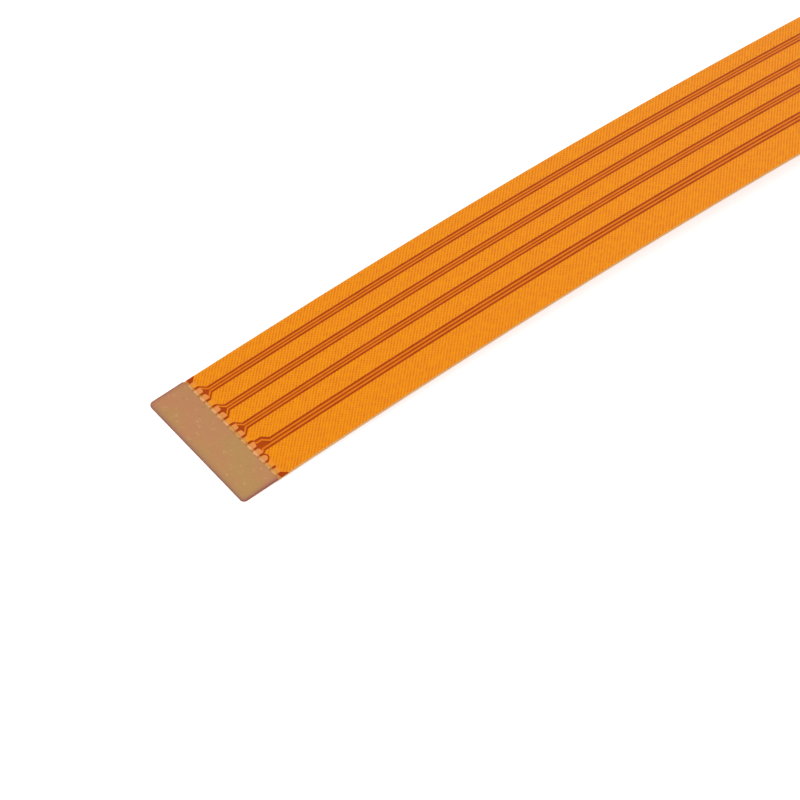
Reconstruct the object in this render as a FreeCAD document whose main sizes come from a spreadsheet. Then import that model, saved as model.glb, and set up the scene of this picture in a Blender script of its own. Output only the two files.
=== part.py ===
"""Flat flex cable: a two-layer polyimide laminate with fifteen contacts at each end.

The cable lies arched on its two cut ends, as it comes to rest on a table. +X runs
along it, from the near end to the far end, +Y across it, towards contact 1, and +Z
up. The origin is on the table, under the middle of the cable. Millimetres.

From the bottom up the laminate holds the bottom coverlay with the contact fingers
and one link track in it, the base film with its vias, the top copper with five
ground bands and eight signal tracks, and the top coverlay. Each end has a stiffener
on top of the base film, stuck down with a bonding film, and is straight; all that
lies between the two straight ends follows one arc.

A level is a height above the base film's underside, square to the film. A setback
is a distance along the film from the cut end.
"""

import FreeCAD
import Part
import Sketcher
import collections
import os
import re

from FreeCAD import Placement, Rotation, Vector

# what each contact is, from contact 1: ground, signal, or linked straight to the far end
PINOUT = "GSSGSSGSSGSSLGG"

DRIVING = (
    ("cable_length", 150, "from cut end to cut end, along the film"),
    ("contact_pitch", 1, "from contact to contact"),
    ("side_margin", 1, "from the middle of an outer contact to the side of the cable"),
    ("straight_end", 8, "length of the straight stretch at each end"),
    ("bend_radius", 690, "radius of the arched stretch, at the base film's underside"),
    ("tip_rounding", 0.5, "corner radius of the cut ends"),
    ("base_thickness", 0.05, "base film"),
    ("copper_thickness", 0.035, "copper foil, top and bottom"),
    ("cover_thickness", 0.03, "coverlay above the copper"),
    ("cover_dip", 0.015, "the coverlay lies this much lower where it has no copper under it"),
    ("bond_thickness", 0.025, "bonding film under a stiffener"),
    ("stiffener_thickness", 0.19, "stiffener, for 0.3 mm over the contacts"),
    ("stiffener_length", 4.25, "stiffener, along the film"),
    ("bare_pad_reach", 0.38, "from a stiffener to the start of the top coverlay"),
    ("bottom_cover_setback", 4, "start of the bottom coverlay, the bare length of a contact"),
    ("copper_margin", 0.1, "bare film beside the outer ground bands"),
    ("contact_width", 0.7, "a contact finger, and the pad above it"),
    ("contact_setback", 0.45, "start of a contact finger"),
    ("contact_chamfer", 0.1, "cut off the corners of a finger's tip"),
    ("contact_overlap", 0.05, "a contact finger ends this far beyond the pad above it"),
    ("via_inset", 0.25, "from a pad's inner end back to the middle of its via"),
    ("via_radius", 0.125, "a filled via"),
    ("pad_clearance", 0.05, "between the stiffener and the top pads"),
    ("pad_reach", 0.87, "from a stiffener to a top pad's inner end, where its track leaves"),
    ("pad_chamfer", 0.15, "cut off a pad's inner corner"),
    ("fork_lead", 0.07, "a ground band forks this far before the pads' inner ends"),
    ("side_fork_reach", 0.72, "from a stiffener to the fork along the cable's long sides"),
    ("channel_width", 0.98, "clear of ground copper round a pair of tracks"),
    ("track_width", 0.18, "a signal track"),
    ("track_space", 0.15, "between the two tracks of a pair"),
    ("wide_channel_width", 1.11, "the same, for the last pair"),
    ("wide_track_width", 0.2, "a track of the last pair"),
    ("wide_track_space", 0.21, "between the tracks of the last pair"),
    ("wide_channel_shift", 0.28, "the last pair runs this far towards the wide band"),
    ("detour_drop", 0.25, "sideways step of track 11 beside its pad"),
    ("detour_reach", 0.82, "from its pad's end to where track 11 turns into its channel"),
    ("round_pad_inset", 0.34, "from the pads' inner ends back to the middle of pad 13's round end"),
    ("round_pad_gap", 0.16, "ring of bare film round pad 13"),
    ("nose_angle", 52, "degrees, where the wide band's nose meets that ring"),
    ("tail_angle", 55, "degrees, where the ring ends beside pad 14"),
    ("link_width", 0.25, "link track of contact 13, on the bottom"),
)

DERIVED = (
    (
        "cable_width",
        f"{len(PINOUT) - 1} * dims.contact_pitch + 2 * dims.side_margin",
        "across the film, from side to side",
    ),
    (
        "end_angle",
        "(dims.cable_length - 2 * dims.straight_end) / (2 * dims.bend_radius) * 180 / pi",
        "slope of the straight ends, in degrees",
    ),
    ("end_sine", "sin(end_angle)", "rise along a straight end"),
    ("end_cosine", "cos(end_angle)", "run along a straight end"),
    (
        "half_span",
        "dims.bend_radius * end_sine + dims.straight_end * end_cosine",
        "from the origin to a cut end's underside",
    ),
    (
        "bend_centre",
        "dims.straight_end * end_sine - dims.bend_radius * end_cosine",
        "height of the arc's centre",
    ),
    (
        "copper_top",
        "dims.base_thickness + dims.copper_thickness",
        "level of the top copper's upper face",
    ),
    ("cover_top", "copper_top + dims.cover_thickness", "level of the cable's upper face"),
    (
        "cover_setback",
        "dims.stiffener_length + dims.bare_pad_reach",
        "start of the top coverlay",
    ),
    ("pad_end", "dims.stiffener_length + dims.pad_reach", "inner end of a top pad"),
    ("fork", "pad_end - dims.fork_lead", "where a ground band's pad widens"),
    (
        "side_fork",
        "dims.stiffener_length + dims.side_fork_reach",
        "where it widens along the cable's long sides",
    ),
    ("contact_end", "pad_end + dims.contact_overlap", "inner end of a contact finger"),
    ("via_setback", "pad_end - dims.via_inset", "middle of the vias"),
    ("round_pad_centre", "pad_end - dims.round_pad_inset", "middle of pad 13's round end"),
    ("detour_end", "pad_end + dims.detour_reach", "where track 11 turns into its channel"),
    (
        "crown",
        "bend_centre + dims.bend_radius + 2 * cover_top",
        "height that clears the arch",
    ),
)

CONTACTS = range(1, len(PINOUT) + 1)
MIDDLE = (len(PINOUT) + 1) / 2
LINKED_CONTACT = PINOUT.index("L") + 1
BAND_CONTACTS = [
    range(run.start() + 1, run.end() + 1) for run in re.finditer("G+", PINOUT)
]
PAIR_CONTACTS = [run.start() + 1 for run in re.finditer("SS", PINOUT)]
UPPER, LOWER = 1, -1
PAD_START = "(dims.stiffener_length + dims.pad_clearance)"
MITRE = "tan(22.5)"
DIAGONAL = "sqrt(2)"
TOUCHING = 1e-6

Corner = collections.namedtuple("Corner", "x y arc_centre", defaults=(None,))
Channel = collections.namedtuple("Channel", "contact centre width track space")

doc = FreeCAD.newDocument("flat_flex_cable")


def fill_sheet(name, rows, prefix):
    """A spreadsheet with one value a row: its alias, the value and what it is."""
    sheet = doc.addObject("Spreadsheet::Sheet", name)
    for row, (alias, value, meaning) in enumerate(rows, start=1):
        sheet.set(f"A{row}", alias)
        sheet.set(f"B{row}", f"{prefix}{value}")
        sheet.setAlias(f"B{row}", alias)
        sheet.set(f"C{row}", meaning)
    doc.recompute()
    return sheet


fill_sheet("dims", DRIVING, "")
shape = fill_sheet("shape", DERIVED, "=")


def value_of(formula):
    return float(shape.evalExpression(formula))


def bind(thing, **formulas):
    for name, formula in formulas.items():
        thing.setExpression(name, formula)


# Sketches


def origin_plane(body, role):
    """A body's own XY_Plane or XZ_Plane."""
    return next(plane for plane in body.Origin.OriginFeatures if plane.Role == role)


def flat_sketch(name, body=None, role="XY_Plane"):
    """An empty sketch, on a plane of the body where one is given."""
    if body is None:
        return doc.addObject("Sketcher::SketchObject", name)
    sketch = body.newObject("Sketcher::SketchObject", name)
    sketch.AttachmentSupport = (origin_plane(body, role), [""])
    sketch.MapMode = "FlatFace"
    return sketch


def edge_between(start, end):
    """A line, or an arc where the start corner has a centre, and whether it runs backwards."""
    first = Vector(value_of(start.x), value_of(start.y))
    last = Vector(value_of(end.x), value_of(end.y))
    if start.arc_centre is None:
        return Part.LineSegment(first, last), False
    centre = Vector(value_of(start.arc_centre[0]), value_of(start.arc_centre[1]))
    arms = (first - centre, last - centre)
    backwards = arms[0].cross(arms[1]).z < 0
    if backwards:
        arms = (arms[1], arms[0])
    circle = Part.Circle(centre, Vector(0, 0, 1), arms[0].Length)
    turn = arms[0].getAngle(arms[1])
    begin = Vector(1, 0, 0).getAngle(arms[0]) * (1 if arms[0].y >= 0 else -1)
    return Part.ArcOfCircle(circle, begin, begin + turn), backwards


def draw_outline(sketch, corners):
    """A closed outline through the corners, each held by formulas for its place."""
    edges = [edge_between(a, b) for a, b in zip(corners, corners[1:] + corners[:1])]
    sketch.addGeometry([edge for edge, _ in edges], False)
    root = -1
    ends = [(2, 1) if backwards else (1, 2) for _, backwards in edges]
    constraints, bindings = [], []

    def hold(kind, index, point, formula):
        if abs(value_of(formula)) < TOUCHING:
            # a corner on an axis is held to the axis, because a distance can't be 0
            axis = -2 if kind == "DistanceX" else -1
            constraints.append(Sketcher.Constraint("PointOnObject", index, point, axis))
            return
        bindings.append((len(constraints), formula))
        constraint = Sketcher.Constraint(kind, root, 1, index, point, value_of(formula))
        constraints.append(constraint)

    for index, corner in enumerate(corners):
        start = ends[index][0]
        before = index - 1 if index else len(corners) - 1
        joint = Sketcher.Constraint("Coincident", before, ends[before][1], index, start)
        constraints.append(joint)
        hold("DistanceX", index, start, corner.x)
        hold("DistanceY", index, start, corner.y)
        if corner.arc_centre is not None:
            # the two ends leave the centre one way to move, square to the chord
            after = corners[(index + 1) % len(corners)]
            across = abs(value_of(f"{after.x} - ({corner.x})"))
            along = abs(value_of(f"{after.y} - ({corner.y})"))
            if across > along:
                hold("DistanceY", index, 3, corner.arc_centre[1])
            else:
                hold("DistanceX", index, 3, corner.arc_centre[0])
    sketch.addConstraint(constraints)
    for number, formula in bindings:
        sketch.setExpression(f"Constraints[{number}]", formula)


# Arched sheets, which the films and the copper are made from


def arch_corner(level, setback, side):
    """A cut end's corner in the XZ plane; side -1 is the near end and 1 the far end."""
    run = f"(shape.half_span - {setback} * shape.end_cosine + {level} * shape.end_sine)"
    rise = f"({setback} * shape.end_sine + {level} * shape.end_cosine)"
    return f"{side} * {run}", rise


def arch_foot(level, side):
    """Where the arc meets the straight end."""
    radius = f"(dims.bend_radius + {level})"
    return (
        f"{side} * {radius} * shape.end_sine",
        f"shape.bend_centre + {radius} * shape.end_cosine",
    )


def arched_body(name, low, high, setback="0"):
    """A sheet as wide as the cable between two levels, straight at its ends and arched."""
    body = doc.addObject("PartDesign::Body", name)
    profile = flat_sketch(f"{name}_profile", body, "XZ_Plane")
    centre = ("0", "shape.bend_centre")
    draw_outline(
        profile,
        [
            Corner(*arch_corner(high, setback, -1)),
            Corner(*arch_foot(high, -1), centre),
            Corner(*arch_foot(high, 1)),
            Corner(*arch_corner(high, setback, 1)),
            Corner(*arch_corner(low, setback, 1)),
            Corner(*arch_foot(low, 1), centre),
            Corner(*arch_foot(low, -1)),
            Corner(*arch_corner(low, setback, -1)),
        ],
    )
    pad = body.newObject("PartDesign::Pad", f"{name}_pad")
    pad.Profile = profile
    pad.SideType = "Symmetric"
    bind(pad, Length="shape.cable_width")
    body.Tip = pad
    doc.recompute()
    return body


def round_tips(body):
    """Rounds the sheet's corners at its cut ends, which stand square to the film."""
    pad = body.Tip
    side = value_of("shape.cable_width / 2")
    short = value_of("dims.tip_rounding")
    names = [
        f"Edge{number}"
        for number, edge in enumerate(pad.Shape.Edges, start=1)
        if edge.Length < short
        and all(abs(abs(v.Y) - side) < TOUCHING for v in edge.Vertexes)
    ]
    fillet = body.newObject("PartDesign::Fillet", f"{body.Name}_tips")
    fillet.Base = (pad, names)
    bind(fillet, Radius="dims.tip_rounding")
    body.Tip = fillet
    return body


# Places on the straight ends


def near(setback):
    """X of a place on the near end."""
    return f"(({setback}) * shape.end_cosine - shape.half_span)"


def contact_y(number):
    return f"({MIDDLE - number} * dims.contact_pitch)"


def pad_edge(number, side):
    return f"({contact_y(number)} + {side} * dims.contact_width / 2)"


def between(number):
    """Y of the middle between a contact and the next."""
    return f"({contact_y(number)} - dims.contact_pitch / 2)"


def seat(thing, setback, across, level):
    """Lays a flat piece on the near end, turned with the film."""
    thing.Placement = Placement(Vector(), Rotation(Vector(0, -1, 0), 1))
    thing.setExpression("Placement.Rotation.Angle", "shape.end_angle")
    run = f"{near(setback)} - ({level}) * shape.end_sine"
    rise = f"({setback}) * shape.end_sine + ({level}) * shape.end_cosine"
    thing.setExpression("Placement.Base.x", run)
    thing.setExpression("Placement.Base.y", across)
    thing.setExpression("Placement.Base.z", rise)


def mirrored(source, label):
    """The far end's copy of a piece of the near end."""
    copy = doc.addObject("Part::Mirroring", label)
    copy.Label = label
    copy.Source = source
    copy.Normal = Vector(1, 0, 0)
    return copy


def group(name, members):
    compound = doc.addObject("Part::Compound", name)
    compound.Links = members
    return compound


def both_ends(corners):
    """A closed outline from the corners of its near end, mirrored for its far end."""
    far = []
    for index in range(len(corners) - 1, -1, -1):
        corner = corners[index]
        centre = corners[index - 1].arc_centre if index else None
        if centre is not None:
            centre = (f"-({centre[0]})", centre[1])
        far.append(Corner(f"-({corner.x})", corner.y, centre))
    return corners + far


def etched(foil, label, corners):
    """What is left of a foil inside an outline."""
    outline = flat_sketch(f"{label}_outline")
    draw_outline(outline, corners)
    prism = doc.addObject("Part::Extrusion", f"{label}_prism")
    prism.Base = outline
    prism.DirMode = "Custom"
    prism.Dir = Vector(0, 0, 1)
    prism.Solid = True
    bind(prism, LengthFwd="shape.crown")
    piece = doc.addObject("Part::Common", label)
    piece.Label = label
    piece.Base = foil
    piece.Tool = prism
    return piece


def prisms_of(pieces):
    """The prism that each piece of copper was cut out with, mirrored for a mirrored piece."""
    prisms = []
    for piece in pieces:
        if piece.isDerivedFrom("Part::Mirroring"):
            prisms.append(mirrored(piece.Source.Tool, f"{piece.Label}_prism"))
        else:
            prisms.append(piece.Tool)
    return prisms


# Films


def make_base_film(vias):
    """The base film, with a hole for each via."""
    blank = round_tips(arched_body("base_blank", "0", "dims.base_thickness"))
    film = doc.addObject("Part::Cut", "base_film")
    film.Label = "base_film"
    film.Base = blank
    film.Tool = group("via_holes", vias)
    return film


def make_coverlay(label, blank, skin, copper, prisms):
    """A coverlay that stands up over the copper and fills the room between its pieces."""
    raised = doc.addObject("Part::Common", f"{label}_raised")
    raised.Base = skin
    raised.Tool = group(f"{label}_prisms", prisms)
    whole = doc.addObject("Part::Fuse", f"{label}_whole")
    whole.Base = blank
    whole.Tool = raised
    film = doc.addObject("Part::Cut", label)
    film.Label = label
    film.Base = whole
    film.Tool = group(f"{label}_copper", copper)
    return film


def make_top_coverlay(copper):
    setback = "shape.cover_setback"
    dipped = "(shape.cover_top - dims.cover_dip)"
    blank = arched_body("top_coverlay_blank", "dims.base_thickness", dipped, setback)
    skin = arched_body("top_coverlay_skin", dipped, "shape.cover_top", setback)
    return make_coverlay("top_coverlay", blank, skin, copper, prisms_of(copper))


def make_bottom_coverlay(copper):
    setback = "dims.bottom_cover_setback"
    lowest = "-(dims.copper_thickness + dims.cover_thickness)"
    dipped = f"({lowest} + dims.cover_dip)"
    blank = arched_body("bottom_coverlay_blank", dipped, "0", setback)
    skin = arched_body("bottom_coverlay_skin", lowest, dipped, setback)
    return make_coverlay("bottom_coverlay", blank, skin, copper, prisms_of(copper))


def make_end_plate(label, level, thickness):
    """A stiffener or its bonding film: as wide as the cable, with two rounded corners."""
    body = doc.addObject("PartDesign::Body", label)
    body.Label = label
    outline = flat_sketch(f"{label}_outline", body)
    half_width = "shape.cable_width / 2"
    draw_outline(
        outline,
        [
            Corner("0", f"-{half_width}"),
            Corner("dims.stiffener_length", f"-{half_width}"),
            Corner("dims.stiffener_length", half_width),
            Corner("0", half_width),
        ],
    )
    pad = body.newObject("PartDesign::Pad", f"{label}_pad")
    pad.Profile = outline
    bind(pad, Length=thickness)
    body.Tip = pad
    doc.recompute()
    length = value_of(thickness)
    names = [
        f"Edge{number}"
        for number, edge in enumerate(pad.Shape.Edges, start=1)
        if abs(edge.Length - length) < TOUCHING
        and all(abs(v.X) < TOUCHING for v in edge.Vertexes)
    ]
    fillet = body.newObject("PartDesign::Fillet", f"{label}_tips")
    fillet.Base = (pad, names)
    bind(fillet, Radius="dims.tip_rounding")
    body.Tip = fillet
    seat(body, "0", "0", level)
    return body


# Top copper


def plain_channel(contact):
    return Channel(
        contact, between(contact), "dims.channel_width", "dims.track_width", "dims.track_space"
    )


def wide_channel(contact):
    return Channel(
        contact,
        f"({between(contact)} - dims.wide_channel_shift)",
        "dims.wide_channel_width",
        "dims.wide_track_width",
        "dims.wide_track_space",
    )


CHANNELS = [plain_channel(contact) for contact in PAIR_CONTACTS[:-1]]
CHANNELS.append(wide_channel(PAIR_CONTACTS[-1]))


def channel_edge(channel, side):
    return f"({channel.centre} + {side} * {channel.width} / 2)"


def band_edges():
    """The upper and the lower edge of each ground band."""
    margin = "(shape.cable_width / 2 - dims.copper_margin)"
    uppers = [margin] + [channel_edge(channel, LOWER) for channel in CHANNELS]
    lowers = [channel_edge(channel, UPPER) for channel in CHANNELS] + [f"(-{margin})"]
    return list(zip(uppers, lowers))


def band_fork(contact, side, edge):
    """Corners from a band's long edge in to its pad, at 45 degrees."""
    pad = pad_edge(contact, side)
    fork = "shape.fork" if contact - side in CONTACTS else "shape.side_fork"
    return [
        Corner(near(f"{fork} + {side} * ({edge} - {pad})"), edge),
        Corner(near(fork), pad),
        Corner(near(PAD_START), pad),
    ]


def detour_fork(contact, edge):
    """The lower fork of the band beside track 11, which keeps clear of its detour."""
    pad = pad_edge(contact, LOWER)
    gap = "(dims.contact_pitch - dims.contact_width)"
    turn = f"shape.detour_end + {gap} * {MITRE}"
    shelf = f"({pad} - dims.detour_drop)"
    return [
        Corner(near(f"{turn} + {shelf} - {edge}"), edge),
        Corner(near(turn), shelf),
        Corner(near("shape.fork + dims.detour_drop"), shelf),
        Corner(near("shape.fork"), pad),
        Corner(near(PAD_START), pad),
    ]


def ring_corners(edge):
    """The wide band's nose, the ring round pad 13 and the way back to pad 14."""
    middle = contact_y(LINKED_CONTACT)
    radius = "(dims.contact_width / 2 + dims.round_pad_gap)"
    nose = f"shape.round_pad_centre + {radius} * cos(dims.nose_angle)"
    nose_y = f"({middle} + {radius} * sin(dims.nose_angle))"
    tail = f"shape.round_pad_centre + {radius} * cos(dims.tail_angle)"
    tail_y = f"({middle} - {radius} * sin(dims.tail_angle))"
    pad = pad_edge(LINKED_CONTACT + 1, UPPER)
    centre = (near("shape.round_pad_centre"), middle)
    return [
        Corner(near(f"{nose} + {edge} - {nose_y}"), edge),
        Corner(near(nose), nose_y, centre),
        Corner(near(tail), tail_y),
        Corner(near(f"{tail} - {tail_y} + {pad}"), pad),
        Corner(near(PAD_START), pad),
    ]


def notch_corners(contact):
    """The bare notch between two pads of one band."""
    half_gap = "(dims.contact_pitch - dims.contact_width) / 2"
    sides = (pad_edge(contact, LOWER), pad_edge(contact + 1, UPPER))
    return [
        Corner(near(PAD_START), sides[0]),
        Corner(near(f"shape.pad_end - {half_gap}"), sides[0]),
        Corner(near("shape.pad_end"), between(contact)),
        Corner(near(f"shape.pad_end - {half_gap}"), sides[1]),
        Corner(near(PAD_START), sides[1]),
    ]


def make_ground_bands(foil):
    """Five broad bands between the channels, each joined to its own pads."""
    bands = []
    for number, (contacts, edges) in enumerate(zip(BAND_CONTACTS, band_edges()), start=1):
        first, last = contacts[0], contacts[-1]
        if first == LINKED_CONTACT + 1:
            corners = ring_corners(edges[0])
        else:
            corners = band_fork(first, UPPER, edges[0])
        for contact in contacts[:-1]:
            corners = corners + notch_corners(contact)
        if last + 1 == CHANNELS[-1].contact:
            lower = detour_fork(last, edges[1])
        else:
            lower = band_fork(last, LOWER, edges[1])
        corners = corners + lower[::-1]
        bands.append(etched(foil, f"ground_band_{number}", both_ends(corners)))
    return bands


def track_corners(channel, side):
    """A signal track's near end: pad, diagonal and the start of its straight run."""
    contact = channel.contact if side == UPPER else channel.contact + 1
    outer_pad, inner_pad = pad_edge(contact, side), pad_edge(contact, -side)
    inner = f"({channel.centre} + {side} * {channel.space} / 2)"
    outer = f"({inner} + {side} * {channel.track})"
    leave = f"({outer_pad} - {side} * {channel.track} * {DIAGONAL})"
    pad = [
        Corner(near("shape.pad_end"), outer_pad),
        Corner(near(PAD_START), outer_pad),
        Corner(near(PAD_START), inner_pad),
        Corner(near("shape.pad_end - dims.pad_chamfer"), inner_pad),
        Corner(near("shape.pad_end"), f"{inner_pad} + {side} * dims.pad_chamfer"),
        Corner(near("shape.pad_end"), leave),
    ]
    if channel is CHANNELS[-1] and side == UPPER:
        return detour_corners(pad, channel, outer_pad, outer, leave, inner)
    start = Corner(near(f"shape.pad_end + {side} * ({outer_pad} - {outer})"), outer)
    finish = Corner(near(f"shape.pad_end + {side} * ({leave} - {inner})"), inner)
    return [start] + pad + [finish]


def detour_corners(pad, channel, outer_pad, outer, leave, inner):
    """Track 11 steps down, runs straight for a short way and then turns into its channel."""
    high = f"({outer_pad} - dims.detour_drop)"
    low = f"({high} - {channel.track})"
    inner_turn = f"shape.detour_end - {channel.track} * {MITRE}"
    return (
        [
            Corner(near(f"shape.detour_end + {high} - {outer}"), outer),
            Corner(near("shape.detour_end"), high),
            Corner(near("shape.pad_end + dims.detour_drop"), high),
        ]
        + pad
        + [
            Corner(near(f"shape.pad_end + {leave} - {low}"), low),
            Corner(near(inner_turn), low),
            Corner(near(f"{inner_turn} + {low} - {inner}"), inner),
        ]
    )


def make_signal_tracks(foil):
    """Eight tracks, two in each channel, named for their contacts."""
    tracks = []
    for channel in CHANNELS:
        for side in (UPPER, LOWER):
            contact = channel.contact if side == UPPER else channel.contact + 1
            corners = both_ends(track_corners(channel, side))
            tracks.append(etched(foil, f"signal_track_{contact:02d}", corners))
    return tracks


def make_round_pads(foil):
    """Pad 13, which stands alone and goes through its via to the link track."""
    top, bottom = pad_edge(LINKED_CONTACT, UPPER), pad_edge(LINKED_CONTACT, LOWER)
    middle = contact_y(LINKED_CONTACT)
    centre_x = near("shape.round_pad_centre")
    centre = (centre_x, middle)
    corners = [
        Corner(near(PAD_START), top),
        Corner(near(PAD_START), bottom),
        Corner(centre_x, bottom, centre),
        Corner(f"{centre_x} + dims.contact_width / 2", middle, centre),
        Corner(centre_x, top),
    ]
    near_pad = etched(foil, "near_round_pad_13", corners)
    return [near_pad, mirrored(near_pad, "far_round_pad_13")]


# Bottom copper and vias


def finger_corners(number, side):
    """One side of a contact finger, from its inner end to its chamfered tip."""
    edge = pad_edge(number, side)
    return [
        Corner(near("shape.contact_end"), edge),
        Corner(near("dims.contact_setback + dims.contact_chamfer"), edge),
        Corner(near("dims.contact_setback"), f"{edge} - {side} * dims.contact_chamfer"),
    ]


def make_contacts(foil):
    """The contact fingers but for number 13, which is one piece with the link track."""
    nears = []
    for number in CONTACTS:
        if number == LINKED_CONTACT:
            continue
        corners = finger_corners(number, UPPER) + finger_corners(number, LOWER)[::-1]
        nears.append(etched(foil, f"near_contact_{number:02d}", corners))
    fars = [mirrored(finger, finger.Label.replace("near", "far")) for finger in nears]
    return nears + fars


def make_link_track(foil):
    """The two fingers of contact 13 with the narrow track that joins them."""
    middle = contact_y(LINKED_CONTACT)
    taper = near("shape.contact_end + (dims.contact_width - dims.link_width) / 2")
    upper, lower = (
        [Corner(taper, f"{middle} + {side} * dims.link_width / 2")]
        + finger_corners(LINKED_CONTACT, side)
        for side in (UPPER, LOWER)
    )
    return etched(foil, "link_track_13", both_ends(upper + lower[::-1]))


def make_vias():
    """A filled via between each finger and the pad above it, as one group at each end."""
    barrels = []
    for number in CONTACTS:
        barrel = doc.addObject("Part::Cylinder", f"via_{number:02d}")
        bind(barrel, Radius="dims.via_radius", Height="dims.base_thickness")
        seat(barrel, "shape.via_setback", contact_y(number), "0")
        barrels.append(barrel)
    nears = group("near_vias", barrels)
    nears.Label = "near_vias"
    return [nears, mirrored(nears, "far_vias")]


def make_cable():
    """Every sub-part of the cable."""
    top_foil = arched_body("top_foil", "dims.base_thickness", "shape.copper_top")
    bottom_foil = arched_body("bottom_foil", "-dims.copper_thickness", "0")
    top_copper = make_ground_bands(top_foil)
    top_copper += make_signal_tracks(top_foil)
    top_copper += make_round_pads(top_foil)
    bottom_copper = make_contacts(bottom_foil)
    bottom_copper.append(make_link_track(bottom_foil))
    vias = make_vias()
    films = [
        make_base_film(vias),
        make_top_coverlay(top_copper),
        make_bottom_coverlay(bottom_copper),
    ]
    plates = []
    bond_top = "dims.base_thickness + dims.bond_thickness"
    for piece, level, thickness in (
        ("bonding_film", "dims.base_thickness", "dims.bond_thickness"),
        ("stiffener", bond_top, "dims.stiffener_thickness"),
    ):
        plate = make_end_plate(f"near_{piece}", level, thickness)
        plates += [plate, mirrored(plate, f"far_{piece}")]
    doc.recompute()
    return films + plates + top_copper + bottom_copper + vias


def check(parts):
    """Stops before anything is written if an object failed or a sub-part isn't sound."""
    for thing in doc.Objects:
        if {"Invalid", "Error"} & set(thing.State):
            raise RuntimeError(f"{thing.Label} failed: {thing.State}")
    for part in parts:
        if part.Shape.isNull() or not part.Shape.isValid() or not part.Shape.Solids:
            raise RuntimeError(f"{part.Label} has no sound solid")


def write(parts):
    os.makedirs("parts", exist_ok=True)
    for part in parts:
        part.Shape.exportStep(f"parts/{part.Label}.step")


cable_parts = make_cable()
check(cable_parts)
write(cable_parts)
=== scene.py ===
"""Flat flex cable with fifteen contacts at each end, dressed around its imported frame.

The films and the copper are cut flat, in millimetres: x runs along the film from its
middle, y across it and z is the level above the base film's underside. Each piece is
then laid along one smooth route, which turns it to metres in the frame's axes. A
setback is a distance along the film from a cut end.
"""

import bisect
import collections
import functools
import math
import re

import bmesh
import bpy
from bpy.props import FloatProperty, FloatVectorProperty, PointerProperty
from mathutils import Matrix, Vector


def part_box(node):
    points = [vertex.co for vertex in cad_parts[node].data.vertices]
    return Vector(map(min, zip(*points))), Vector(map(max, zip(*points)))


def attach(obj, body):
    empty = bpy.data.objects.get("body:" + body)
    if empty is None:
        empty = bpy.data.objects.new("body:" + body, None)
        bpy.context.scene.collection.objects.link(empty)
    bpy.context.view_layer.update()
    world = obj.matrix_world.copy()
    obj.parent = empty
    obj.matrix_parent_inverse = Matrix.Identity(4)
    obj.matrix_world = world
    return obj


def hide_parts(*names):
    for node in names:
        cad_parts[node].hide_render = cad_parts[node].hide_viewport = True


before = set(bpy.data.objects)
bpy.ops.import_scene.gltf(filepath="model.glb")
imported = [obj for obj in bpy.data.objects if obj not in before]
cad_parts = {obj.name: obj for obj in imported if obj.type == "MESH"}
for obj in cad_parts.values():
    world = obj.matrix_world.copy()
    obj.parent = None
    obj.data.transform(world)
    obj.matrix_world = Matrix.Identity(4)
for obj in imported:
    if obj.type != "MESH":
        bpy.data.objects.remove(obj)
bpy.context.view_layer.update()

bl_info = {
    "name": "Flat Flex Cable",
    "version": (1, 0, 0),
    "blender": (4, 5, 0),
    "location": "3D View > Sidebar > Flex Cable",
    "description": "Builds a polyimide flex cable with stiffened contact ends",
    "category": "Add Mesh",
}

MM = 0.001
PINOUT = "GSSGSSGSSGSSLGG"  # each contact: ground, signal, or linked straight to the far end
LINKED = PINOUT.index("L") + 1
NEAR, FAR = -1, 1
ENDS = ((NEAR, "near"), (FAR, "far"))
UPPER, LOWER = 1, -1

# Control points of the route that the base film's underside follows, in metres
ROUTE = (
    (-0.074857, 0.0, 0.0),
    (-0.048, 0.0, 0.00279),
    (0.0, 0.0, 0.004434),
    (0.048, 0.0, 0.00279),
    (0.074857, 0.0, 0.0),
)


def linear(code):
    """An sRGB hex colour as linear red, green and blue."""
    levels = [int(code[i : i + 2], 16) / 255 for i in (0, 2, 4)]
    return tuple(v / 12.92 if v <= 0.04045 else ((v + 0.055) / 1.055) ** 2.4 for v in levels)


def length(name, description, millimetres):
    """A size that a user can change, given in millimetres."""
    return FloatProperty(
        name=name, description=description, default=millimetres * MM, min=0, unit="LENGTH",
        precision=6,
    )


def angle(name, description, degrees):
    """An angle that a user can change, given in degrees."""
    return FloatProperty(
        name=name, description=description, default=math.radians(degrees), subtype="ANGLE"
    )


def colour(name, description, code):
    """A colour that a user can change, given as sRGB hex."""
    return FloatVectorProperty(
        name=name, description=description, default=linear(code), min=0, max=1, size=3,
        subtype="COLOR",
    )


FILM_LOW, FILM_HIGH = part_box("base_film")
FILM_WIDTH = (FILM_HIGH[1] - FILM_LOW[1]) / MM
END_X = FILM_HIGH[0]


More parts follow.
